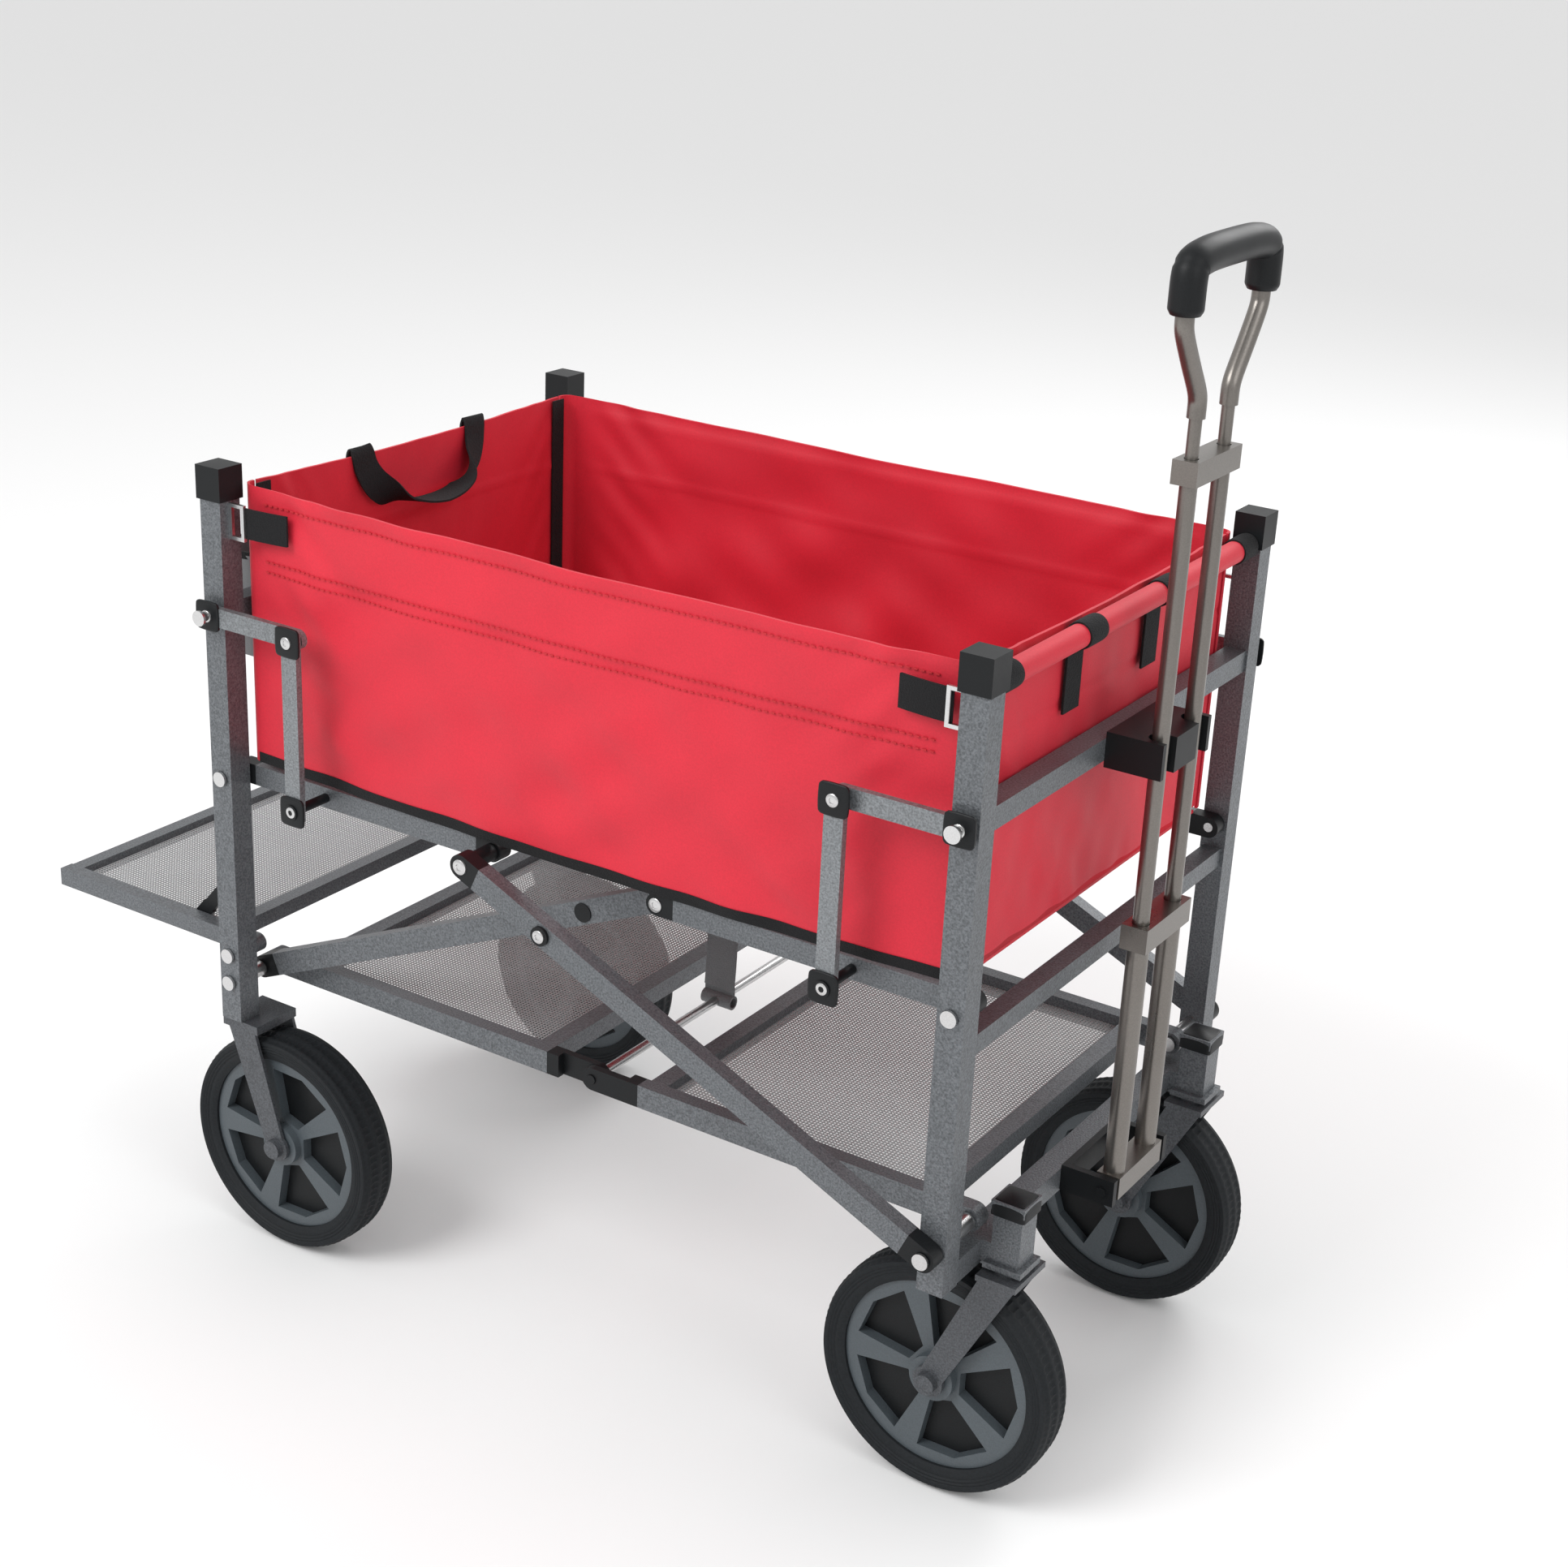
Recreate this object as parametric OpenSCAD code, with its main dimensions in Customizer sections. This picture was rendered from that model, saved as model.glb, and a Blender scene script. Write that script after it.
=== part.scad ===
// Folding camp wagon: fabric basket on a folding tube frame, lower deck, rear platform, pull handle.
// Origin on the floor under the middle, +X to the pull-handle end, +Z up, millimetres.

/* [Frame] */
// distance between the front and rear leg centres
leg_span = 700; // [640:10:900]
// distance between the right and left leg centres
leg_width = 450; // [400:10:560]
// height of the leg tubes' tops
leg_top = 700; // [640:10:760]
// side of the square leg tubes
leg_side = 22; // [18:1:26]
// height of the base rails' pivots, under the basket floor
rail_z = 440; // [420:5:470]
// height of the brace and lower deck pivots
low_z = 250; // [246:1:270]
// height of the side arms' pivots and of the end crossbars
arm_z = 585; // [560:5:620]
// wall of every tube
wall = 1.4; // [1:0.1:2]
// share of the lower brace half above the middle rivet
brace_share = 0.228; // [0.15:0.005:0.3]

/* [Basket] */
// thickness of the fabric panels
cloth = 3; // [2:0.5:5]
// drop of the basket rim below the leg tops
rim_drop = 8; // [4:1:20]

/* [Wheels] */
// outside diameter of a wheel
wheel_d = 203; // [180:1:206]
// width of a wheel
wheel_w = 38; // [30:1:40]
// distance from the wagon's middle to a caster
caster_y = 165; // [150:5:167]
// trail of a caster wheel behind its swivel
trail = 50; // [20:1:55]

/* [Handle] */
// height of the handle's top
handle_top = 965; // [900:5:1000]
// spacing of the handle's two tubes
handle_gap = 56; // [40:2:70]

/* [Rear platform] */
// length of the platform behind the rear legs
platform_len = 235; // [180:5:235]
// height of the platform's pivots
platform_z = 276; // [274:1:285]

/* [Hidden] */
$fn = 48;
half = leg_span / 2;
side_y = leg_width / 2;
leg_h = leg_side / 2;
foot_z = wheel_d + 11;
layer = 13.5;
// each layer is the distance from the middle plane to the near face of the members in it
out_y = side_y + leg_h + 1.5;
in_y = side_y - leg_h - 1.5 - layer;
brace_y = in_y - 1.5 - layer;
deck_y = brace_y - 1.5 - layer;
rail_h = 18;
rail_len = half * (1 - brace_share);
brace_drop = (rail_z - low_z) / (1 + brace_share);
brace_half = sqrt(half * half + brace_drop * brace_drop);
brace_tilt = atan2(brace_drop, half);
brace_len = brace_half * (1 + brace_share);
floor_z = rail_z + rail_h / 2 + 5;
rim_z = leg_top - rim_drop;
arm_len = 95;
bar_z = foot_z + 10;
post_x = half + 30;
wheel_r = wheel_d / 2;
rim_r = wheel_r * 0.79;
handle_x = half + 46;
handle_foot = foot_z + 12;
low_collar = 430;
mid_collar = 790;
clip_x = half + leg_h;
wheel_y_rear = side_y - 14.5;
rear_axle_x = -half + 45;
mid_gap = 34;
// moves the middle of the whole length over the origin
shift = (half + platform_len - (post_x - trail + wheel_r)) / 2;

module placed() {
  translate([shift, 0, 0]) children();
}

module both_sides() {
  children();
  mirror([0, 1, 0]) children();
}

// hollow square tube along X, from its near face outwards
module tube_x(length, deep, high) {
  difference() {
    translate([0, -deep, -high / 2]) cube([length, deep, high]);
    translate([-1, -deep + wall, -high / 2 + wall]) cube([length + 2, deep - 2 * wall, high - 2 * wall]);
  }
}

// hollow tube across the wagon between two side faces
module tube_y(reach, high) {
  difference() {
    translate([-high / 2, -reach, -high / 2]) cube([high, 2 * reach, high]);
    translate([-high / 2 + wall, -reach - 1, -high / 2 + wall])
      cube([high - 2 * wall, 2 * reach + 2, high - 2 * wall]);
  }
}

// cylinder along Y on the right side, from one distance off the middle to another
module pin_y(r, from, to) {
  translate([0, -to, 0]) rotate([-90, 0, 0]) cylinder(r = r, h = to - from);
}

// rounded joint block at a member's end, pivot at the origin, member running to +X
module joint_end(high, from, deep, reach, bore) {
  difference() {
    union() {
      pin_y(high / 2, from, from + deep);
      translate([0, -from - deep, -high / 2]) cube([reach, deep, high]);
    }
    pin_y(bore, from - 1, from + deep + 1);
  }
}

module at_xz(x, z, tilt) {
  translate([x, 0, z]) rotate([0, -tilt, 0]) children();
}

// legs and frames
module leg(x, holes) {
  difference() {
    translate([x - leg_h, -side_y - leg_h, foot_z]) cube([leg_side, leg_side, leg_top - foot_z]);
    translate([x - leg_h + wall, -side_y - leg_h + wall, foot_z - 1])
      cube([leg_side - 2 * wall, leg_side - 2 * wall, leg_top - foot_z + 2]);
    for (z = holes) translate([x, 0, z]) pin_y(4, side_y - leg_h - 1, side_y + leg_h + 1);
  }
}

module leg_cap(x) {
  difference() {
    translate([x - leg_h - 2, -side_y - leg_h - 2, leg_top - 20]) cube([leg_side + 4, leg_side + 4, 28]);
    translate([x - leg_h, -side_y - leg_h, leg_top - 21]) cube([leg_side, leg_side, 21]);
  }
}

module pin_with_heads(x, z, from, to) {
  translate([x, 0, z]) {
    pin_y(4, from - 1.2, to + 1.2);
    pin_y(6.5, from - 3.4, from - 1.2);
    pin_y(6.5, to + 1.2, to + 3.4);
  }
}

// leg pin whose inner end is flush with the member it carries
module flush_pin(x, z) {
  translate([x, 0, z]) {
    pin_y(4, in_y + 0.5, side_y + leg_h + 1.2);
    pin_y(6.5, side_y + leg_h + 1.2, side_y + leg_h + 3.4);
  }
}

module washer(x, z, from, to, r) {
  translate([x, 0, z]) difference() {
    pin_y(r, from, to);
    pin_y(4, from - 1, to + 1);
  }
}

module rear_legs() color("#55595e") both_sides() leg(-half, [low_z, platform_z, rail_z, arm_z]);
module front_legs() color("#55595e") both_sides() leg(half, [low_z, rail_z, arm_z]);

module rear_crossbar() color("#55595e") {
  translate([-half, 0, arm_z]) tube_y(side_y - leg_h, 18);
}

module front_crossbars() color("#55595e") {
  translate([half, 0, arm_z]) tube_y(side_y - leg_h, 18);
  translate([half, 0, bar_z]) tube_y(side_y - leg_h, 20);
  translate([half, 0, rail_z - 30]) tube_y(side_y - leg_h, 16);
}

module front_top_bar() color("#1c1f22") {
  translate([half, 0, rim_z - 10]) difference() {
    rotate([90, 0, 0]) cylinder(r = 9, h = 2 * (side_y - leg_h - 2), center = true);
    rotate([90, 0, 0]) cylinder(r = 7.6, h = 2 * side_y, center = true);
  }
}

module rear_caps() color("#1c1f22") both_sides() leg_cap(-half);
module front_caps() color("#1c1f22") both_sides() leg_cap(half);

module rear_pins() color("#b9bcc0") both_sides() {
  pin_with_heads(-half, low_z, deck_y, side_y + leg_h);
  washer(-half, low_z, in_y + 0.4, side_y - leg_h, 7);
  flush_pin(-half, rail_z);
  flush_pin(-half, platform_z);
  pin_with_heads(-half, arm_z, side_y - leg_h, out_y + layer);
}

module front_pins() color("#b9bcc0") both_sides() {
  pin_with_heads(half, low_z, deck_y, out_y + layer);
  washer(half, low_z, brace_y + 0.4, side_y - leg_h, 7);
  flush_pin(half, rail_z);
  pin_with_heads(half, arm_z, side_y - leg_h, out_y + layer);
}

// wheel fork: crown under its mount and two sheets down to the axle
module fork_sheets(crown_x, axle_x, mid_y) {
  for (s = [-1, 1]) translate([0, -mid_y + s * (wheel_w / 2 + 3.5) - 1.5, 0]) difference() {
    rotate([90, 0, 0]) translate([0, 0, -3]) linear_extrude(height = 3) union() {
      polygon([[crown_x - 15, foot_z - 8], [crown_x + 15, foot_z - 8], [axle_x + 11, wheel_r], [axle_x - 11, wheel_r]]);
      translate([axle_x, wheel_r]) circle(r = 13);
    }
    translate([axle_x, -1, wheel_r]) rotate([-90, 0, 0]) cylinder(r = 5, h = 6);
  }
}

module fork_crown(crown_x, mid_y) {
  translate([crown_x - 17, -mid_y - wheel_w / 2 - 5, foot_z - 8]) cube([34, wheel_w + 10, 5]);
}

module axle(x, mid_y) {
  translate([x, 0, wheel_r]) {
    pin_y(5, mid_y - wheel_w / 2 - 6, mid_y + wheel_w / 2 + 6);
    pin_y(8.5, mid_y - wheel_w / 2 - 11, mid_y - wheel_w / 2 - 5);
    pin_y(8.5, mid_y + wheel_w / 2 + 5, mid_y + wheel_w / 2 + 11);
  }
}

module rear_forks() color("#3f4348") both_sides() {
  fork_sheets(-half + 10, rear_axle_x, wheel_y_rear);
  translate([-half - 12, -wheel_y_rear - wheel_w / 2 - 5, foot_z - 8]) cube([40, wheel_w + 10, 8]);
  axle(rear_axle_x, wheel_y_rear);
}

module caster_posts() color("#1c1f22") both_sides() difference() {
  union() {
    translate([post_x - 12, -caster_y - 12, foot_z]) cube([24, 24, 52]);
    translate([post_x - 14, -caster_y - 14, foot_z + 50]) cube([28, 28, 8]);
    translate([post_x - 16, -caster_y - 16, foot_z]) cube([32, 32, 5]);
    translate([half + 10, -caster_y - 12, foot_z]) cube([10, 24, 20]);
  }
  translate([post_x, -caster_y, foot_z - 1]) cylinder(r = 6.5, h = 27);
}

module caster_right() color("#3f4348") {
  fork_sheets(post_x, post_x - trail, caster_y);
  fork_crown(post_x, caster_y);
  translate([post_x, -caster_y, foot_z - 3]) cylinder(r = 15, h = 2);
  translate([post_x, -caster_y, foot_z - 2]) cylinder(r = 6, h = 26);
  axle(post_x - trail, caster_y);
}
module caster_left() mirror([0, 1, 0]) caster_right();

// wheels
module at_wheel(x, mid_y) {
  translate([x, -mid_y, wheel_r]) rotate([90, 0, 0]) children();
}

module tyre(x, mid_y) color("#2d3238") at_wheel(x, mid_y) difference() {
  rotate_extrude($fn = 96) polygon([
    [rim_r, -wheel_w / 2 + 5], [wheel_r * 0.84, -wheel_w / 2 + 1], [wheel_r - 9, -wheel_w / 2],
    [wheel_r - 2, -wheel_w / 2 + 6], [wheel_r, -wheel_w / 2 + 10], [wheel_r, wheel_w / 2 - 10],
    [wheel_r - 2, wheel_w / 2 - 6], [wheel_r - 9, wheel_w / 2], [wheel_r * 0.84, wheel_w / 2 - 1],
    [rim_r, wheel_w / 2 - 5]]);
  for (i = [0 : 2], s = [-1, 1]) translate([0, 0, s * wheel_w / 2]) rotate_extrude($fn = 96)
    translate([wheel_r * 0.865 + i * 2.6, 0]) square([1.2, 1.6], center = true);
}

module rim(x, mid_y) color("#4d575e") at_wheel(x, mid_y) difference() {
  union() {
    cylinder(r = rim_r, h = wheel_w - 14, center = true, $fn = 96);
    cylinder(r = 19, h = wheel_w, center = true);
  }
  cylinder(r = 5.4, h = wheel_w + 4, center = true);
  for (i = [0 : 4], s = [-1, 1]) rotate([0, 0, 72 * i]) translate([0, 0, s * wheel_w / 2])
    linear_extrude(height = wheel_w - 4, center = true) polygon([
      [24 * cos(24), 24 * sin(24)], [24 * cos(-24), 24 * sin(-24)],
      [rim_r * 0.88 * cos(-27), rim_r * 0.88 * sin(-27)], [rim_r * 0.9, 0],
      [rim_r * 0.88 * cos(27), rim_r * 0.88 * sin(27)]]);
}

module tyre_rear_right() tyre(rear_axle_x, wheel_y_rear);
module tyre_rear_left() mirror([0, 1, 0]) tyre_rear_right();
module tyre_front_right() tyre(post_x - trail, caster_y);
module tyre_front_left() mirror([0, 1, 0]) tyre_front_right();
module rim_rear_right() rim(rear_axle_x, wheel_y_rear);
module rim_rear_left() mirror([0, 1, 0]) rim_rear_right();
module rim_front_right() rim(post_x - trail, caster_y);
module rim_front_left() mirror([0, 1, 0]) rim_front_right();

// basket
module rear_end_panel() color("#e0384a") {
  translate([-half + leg_h + 1, -in_y + 2, floor_z + cloth + 1])
    cube([cloth, 2 * in_y - 4, rim_z - floor_z - cloth - 1]);
}

module front_end_panel() color("#e0384a") {
  translate([half - leg_h - 1 - cloth, -in_y + 2, floor_z + cloth + 1])
    cube([cloth, 2 * in_y - 4, rim_z - floor_z - cloth - 1]);
}

module basket_side_right() color("#e0384a") {
  translate([-half + leg_h + 1, -side_y + leg_h + 2, floor_z])
    cube([leg_span - leg_side - 2, cloth, rim_z - floor_z]);
  for (x = [-half + leg_h + 1, half - leg_h - 1 - cloth])
    translate([x, -side_y + leg_h + 2, floor_z]) cube([cloth, side_y - leg_h - 2.5 - in_y, rim_z - floor_z]);
}
module basket_side_left() mirror([0, 1, 0]) basket_side_right();

module floor_rear() color("#b21f2e") {
  translate([-half + leg_h + 2, -in_y + 2, floor_z - 2.6]) cube([half - leg_h - 4, 2 * in_y - 4, cloth]);
}
module floor_front() mirror([1, 0, 0]) floor_rear();

// strap ring on a leg's inward face, and the webbing tab from it to the basket's side
module ring(x, s) {
  translate([x, -side_y - 1.5, rim_z - 44]) difference() {
    translate([s > 0 ? 0 : -16, 0, 0]) cube([16, 3, 30]);
    translate([s > 0 ? 3 : -13, -1, 3]) cube([10, 5, 24]);
  }
}

module tab(x, s) {
  translate([s > 0 ? x + 16.2 : x - 16.2 - 40, -side_y - 1, rim_z - 42]) cube([40, 2, 26]);
  translate([s > 0 ? x + 36.2 : x - 16.2 - 40, -side_y - 1, rim_z - 42]) cube([20, 12, 26]);
}

module rear_rings() color("#b9bcc0") both_sides() ring(-half + leg_h, 1);
module front_rings() color("#b9bcc0") both_sides() ring(half - leg_h, -1);
module rear_tabs() color("#1c1f22") both_sides() tab(-half + leg_h, 1);
module front_tabs() color("#1c1f22") both_sides() tab(half - leg_h, -1);

// webbing carry handle hanging on the rear panel's outer face
module carry_handle() color("#1c1f22") {
  for (s = [-1, 1]) translate([-half + leg_h - 1, s * 70 - 12.5, rim_z - 60]) cube([2, 25, 58]);
  translate([-half + leg_h - 1, -57.5, rim_z - 60]) cube([2, 115, 22]);
}

module cup_pocket() color("#8a8d90") difference() {
  translate([-half - 63, -in_y + 20, arm_z - 66]) cube([54, 84, 100]);
  translate([-half - 61, -in_y + 22, arm_z - 64]) cube([50, 80, 110]);
}

// folding members
module deck_rail(x, s) {
  reach = half - mid_gap - 12;
  translate([x, 0, low_z]) mirror([s > 0 ? 0 : 1, 0, 0]) {
    translate([16, -deck_y, 0]) tube_x(reach - 16, layer, 20);
    joint_end(20, deck_y, layer, 16, 4.3);
  }
}

module deck_cross(x) {
  translate([x, 0, low_z]) tube_y(deck_y, 16);
}

module deck_rear_frame() color("#55595e") {
  both_sides() deck_rail(-half, 1);
  deck_cross(-half + 36);
  deck_cross(-mid_gap - 22);
}
module deck_front_frame() color("#55595e") {
  both_sides() deck_rail(half, -1);
  deck_cross(half - 36);
  deck_cross(mid_gap + 22);
}

module deck_mesh() {
  translate([-half + 44, -deck_y, low_z - 0.7]) cube([half - mid_gap - 74, 2 * deck_y, 1.4]);
}
module deck_rear_mesh() color("#c4c7c9") deck_mesh();
module deck_front_mesh() color("#c4c7c9") mirror([1, 0, 0]) deck_mesh();

// hinge blocks at the deck's middle: half-thick tongues side by side on one pin
module deck_hinges_rear() color("#1c1f22") both_sides() {
  translate([0, 0, low_z]) {
    translate([-mid_gap - 12, -deck_y - layer, -10]) cube([12, layer, 20]);
    translate([-mid_gap, -deck_y - 6, -10]) cube([mid_gap, 6, 20]);
    pin_y(10, deck_y, deck_y + 6);
    pin_y(4, deck_y + 6, deck_y + layer + 1.2);
    pin_y(6.5, deck_y - 2.5, deck_y);
  }
}
module deck_hinges_front() color("#1c1f22") both_sides() {
  translate([0, 0, low_z]) difference() {
    union() {
      translate([mid_gap, -deck_y - layer, -10]) cube([12, layer, 20]);
      translate([0, -deck_y - layer, -10]) cube([mid_gap, layer - 7, 20]);
      pin_y(10, deck_y + 7, deck_y + layer);
    }
    pin_y(4.3, deck_y + 6.5, deck_y + layer + 1);
  }
}

module brace_tube(from) {
  translate([18, -from, 0]) tube_x(brace_len - 34, layer, 20);
}

module brace_ends(from) {
  joint_end(20, from, layer, 18, 4.3);
  translate([brace_len, 0, 0]) mirror([1, 0, 0]) joint_end(20, from, layer, 16, 4.3);
}

module brace_rear_tubes() color("#55595e") both_sides()
  at_xz(-half, low_z, brace_tilt) brace_tube(brace_y);
module brace_front_tubes() color("#55595e") both_sides()
  mirror([1, 0, 0]) at_xz(-half, low_z, brace_tilt) brace_tube(out_y);

module brace_rear_joints() color("#1c1f22") both_sides() at_xz(-half, low_z, brace_tilt) {
  brace_ends(brace_y);
  translate([brace_half, 0, 0]) pin_y(8, brace_y + layer, brace_y + layer + 1);
}
module brace_front_joints() color("#1c1f22") both_sides() mirror([1, 0, 0]) at_xz(-half, low_z, brace_tilt) {
  brace_ends(out_y);
  translate([brace_half, 0, 0]) pin_y(8, out_y + layer, out_y + layer + 2.5);
}

module base_frame() {
  both_sides() translate([-half + 16, -in_y, rail_z]) tube_x(rail_len - 32, layer, rail_h);
  for (x = [-half + 120, -half + rail_len - 46]) translate([x, 0, rail_z]) tube_y(in_y, 16);
}
module base_rear_frame() color("#55595e") base_frame();
module base_front_frame() color("#55595e") mirror([1, 0, 0]) base_frame();

module base_joints() {
  both_sides() translate([-half, 0, rail_z]) {
    joint_end(rail_h, in_y, layer, 16, 4.3);
    translate([rail_len, 0, 0]) mirror([1, 0, 0]) joint_end(rail_h, in_y, layer, 16, 4.3);
    translate([arm_len, 0, 0]) {
      pin_y(4, in_y + layer, out_y + layer + 1.2);
      pin_y(6.5, out_y + layer + 1.2, out_y + layer + 3.4);
    }
  }
}
module base_rear_joints() color("#1c1f22") base_joints();
module base_front_joints() color("#1c1f22") mirror([1, 0, 0]) base_joints();

module arm_set() {
  both_sides() translate([-half, 0, arm_z]) {
    joint_end(16, out_y, 6, 14, 4.3);
    translate([14, -out_y, 0]) tube_x(arm_len - 28, 6, 16);
    translate([arm_len, 0, 0]) mirror([1, 0, 0]) joint_end(16, out_y, 6, 14, 4);
    translate([arm_len, 0, 0]) pin_y(4, out_y + 0.5, out_y + layer + 2.4);
  }
}
module arms_rear() color("#3f4348") arm_set();
module arms_front() color("#3f4348") mirror([1, 0, 0]) arm_set();

module link_set() {
  both_sides() translate([-half + arm_len, 0, 0]) difference() {
    translate([0, -out_y - layer, rail_z - 8]) translate([-8, 0, 0]) cube([16, 6, arm_z - rail_z + 16]);
    translate([0, 0, rail_z]) pin_y(4.3, out_y, out_y + layer + 1);
    translate([0, 0, arm_z]) pin_y(4.3, out_y, out_y + layer + 1);
  }
}
module links_rear() color("#3f4348") link_set();
module links_front() color("#3f4348") mirror([1, 0, 0]) link_set();

module lift_strap() color("#5c6064") {
  translate([-12, -1, low_z + 14]) cube([24, 2, floor_z - low_z - 20]);
  translate([-16, -2, low_z + 10.5]) cube([32, 4, 3.5]);
}

// rear platform
module platform_frame() color("#55595e") translate([-half, 0, platform_z]) {
  both_sides() {
    mirror([1, 0, 0]) joint_end(16, in_y, layer, 20, 4.3);
    translate([-platform_len + 12, -in_y, 0]) tube_x(platform_len - 32, layer, 16);
    translate([-platform_len, -in_y - layer, -8]) cube([12, layer, 16]);
  }
  translate([-platform_len + 7, 0, 0]) tube_y(in_y, 14);
  translate([-34, 0, 0]) tube_y(in_y, 14);
}
module platform_mesh() color("#c4c7c9") translate([-half, 0, platform_z]) {
  translate([-platform_len + 14, -in_y + 8, -0.7]) cube([platform_len - 55, 2 * in_y - 16, 1.4]);
}

module stays() color("#1c1f22") both_sides() at_xz(-half - 75, platform_z, 49) {
  joint_end(14, in_y - 5, 4, 20, 3.2);
  pin_y(3, in_y - 7, in_y);
  translate([20, -in_y + 1, -6]) cube([58, 4, 12]);
}

// pull handle
module handle_bracket() color("#1c1f22") {
  for (s = [-1, 1]) translate([half + 10, s * (handle_gap / 2 + 17) - 3, foot_z + 1])
    difference() {
      cube([46, 6, 22]);
      translate([handle_x - half - 10, -1, handle_foot - foot_z - 1]) rotate([-90, 0, 0]) cylinder(r = 4, h = 8);
    }
  translate([half + 10, -handle_gap / 2 - 20, foot_z + 1]) cube([6, handle_gap + 40, 22]);
  translate([handle_x, 0, handle_foot]) rotate([90, 0, 0]) cylinder(r = 4, h = handle_gap + 44, center = true);
}

// open-fronted clip that holds the upright handle
module handle_clip() color("#1c1f22") difference() {
  translate([half + 9, -handle_gap / 2 - 14, arm_z - 14]) cube([46, handle_gap + 28, 28]);
  for (s = [-1, 1]) {
    translate([handle_x, s * handle_gap / 2, arm_z - 20]) cylinder(r = 9, h = 40);
    translate([handle_x, s * handle_gap / 2 - 9, arm_z - 20]) cube([40, 18, 40]);
  }
}

module tube_z(r, z0, z1, bore) {
  for (s = [-1, 1]) translate([handle_x, s * handle_gap / 2, z0]) difference() {
    cylinder(r = r, h = z1 - z0);
    translate([0, 0, -1]) cylinder(r = bore, h = z1 - z0 + 2);
  }
}

module handle_lower() color("#77706a") {
  tube_z(8.5, handle_foot + 10, low_collar, 7);
  difference() {
    translate([handle_x - 10, -handle_gap / 2 - 10, handle_foot - 9]) cube([20, handle_gap + 20, 19]);
    translate([handle_x, 0, handle_foot]) rotate([90, 0, 0]) cylinder(r = 4.3, h = 200, center = true);
  }
  difference() {
    translate([handle_x - 11, -handle_gap / 2 - 11, low_collar]) cube([22, handle_gap + 22, 20]);
    for (s = [-1, 1]) translate([handle_x, s * handle_gap / 2, low_collar - 1]) cylinder(r = 6.9, h = 40);
  }
}

module handle_middle() color("#77706a") {
  tube_z(6.5, low_collar - 40, mid_collar, 5.4);
  difference() {
    translate([handle_x - 10, -handle_gap / 2 - 10, mid_collar]) cube([20, handle_gap + 20, 18]);
    for (s = [-1, 1]) translate([handle_x, s * handle_gap / 2, mid_collar - 1]) cylinder(r = 5.4, h = 40);
  }
}

// wide loop on two stems; the loop is one flat section so it meets the stems on plain faces
module handle_loop() color("#1c1f22") {
  tube_z(5, mid_collar - 40, handle_top - 118, 3.8);
  g = handle_gap / 2;
  w = g + 50;
  translate([handle_x - 12, 0, handle_top]) rotate([90, 0, 90]) linear_extrude(height = 24) polygon([
    [-g - 7, -124], [-g - 7, -112], [-w, -66], [-w, -10], [-w + 12, 0], [w - 12, 0], [w, -10], [w, -66],
    [g + 7, -112], [g + 7, -124], [g - 7, -124], [g - 7, -108], [w - 24, -60], [w - 26, -27],
    [-w + 26, -27], [-w + 24, -60], [-g + 7, -108], [-g + 7, -124]]);
}

placed() rear_legs();
placed() rear_crossbar();
placed() rear_caps();
placed() rear_pins();
placed() rear_forks();
placed() rear_end_panel();
placed() basket_side_right();
placed() basket_side_left();
placed() rear_rings();
placed() rear_tabs();
placed() carry_handle();
placed() cup_pocket();
placed() front_legs();
placed() front_crossbars();
placed() front_top_bar();
placed() front_caps();
placed() front_pins();
placed() front_end_panel();
placed() front_rings();
placed() front_tabs();
placed() caster_posts();
placed() handle_bracket();
placed() handle_clip();
placed() deck_rear_frame();
placed() deck_rear_mesh();
placed() deck_hinges_rear();
placed() deck_front_frame();
placed() deck_front_mesh();
placed() deck_hinges_front();
placed() brace_rear_tubes();
placed() brace_rear_joints();
placed() brace_front_tubes();
placed() brace_front_joints();
placed() base_rear_frame();
placed() base_rear_joints();
placed() floor_rear();
placed() base_front_frame();
placed() base_front_joints();
placed() floor_front();
placed() arms_rear();
placed() arms_front();
placed() links_rear();
placed() links_front();
placed() lift_strap();
placed() platform_frame();
placed() platform_mesh();
placed() stays();
placed() handle_lower();
placed() handle_middle();
placed() handle_loop();
placed() caster_right();
placed() caster_left();
placed() tyre_rear_right();
placed() rim_rear_right();
placed() tyre_rear_left();
placed() rim_rear_left();
placed() tyre_front_right();
placed() rim_front_right();
placed() tyre_front_left();
placed() rim_front_left();
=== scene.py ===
import bpy, math
import numpy as np
from mathutils import Matrix, Vector


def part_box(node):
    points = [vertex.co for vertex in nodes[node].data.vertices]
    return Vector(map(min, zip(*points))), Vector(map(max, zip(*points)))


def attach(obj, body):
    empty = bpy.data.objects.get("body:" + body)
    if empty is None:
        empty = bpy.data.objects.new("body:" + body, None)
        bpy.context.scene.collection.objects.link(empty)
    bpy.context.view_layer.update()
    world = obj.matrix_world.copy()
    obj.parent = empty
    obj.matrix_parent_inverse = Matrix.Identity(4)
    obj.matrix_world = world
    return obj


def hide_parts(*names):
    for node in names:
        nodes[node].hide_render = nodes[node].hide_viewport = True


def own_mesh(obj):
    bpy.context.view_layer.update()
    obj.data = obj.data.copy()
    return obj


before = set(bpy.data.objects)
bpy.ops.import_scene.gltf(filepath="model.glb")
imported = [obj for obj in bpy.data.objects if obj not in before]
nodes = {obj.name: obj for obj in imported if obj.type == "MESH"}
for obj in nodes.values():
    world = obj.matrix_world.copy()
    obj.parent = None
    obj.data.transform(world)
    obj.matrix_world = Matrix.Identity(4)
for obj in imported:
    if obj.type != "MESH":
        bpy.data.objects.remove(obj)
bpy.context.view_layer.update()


def boxOf(name):
    lo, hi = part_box(name)
    return np.array(lo), np.array(hi)


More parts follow.
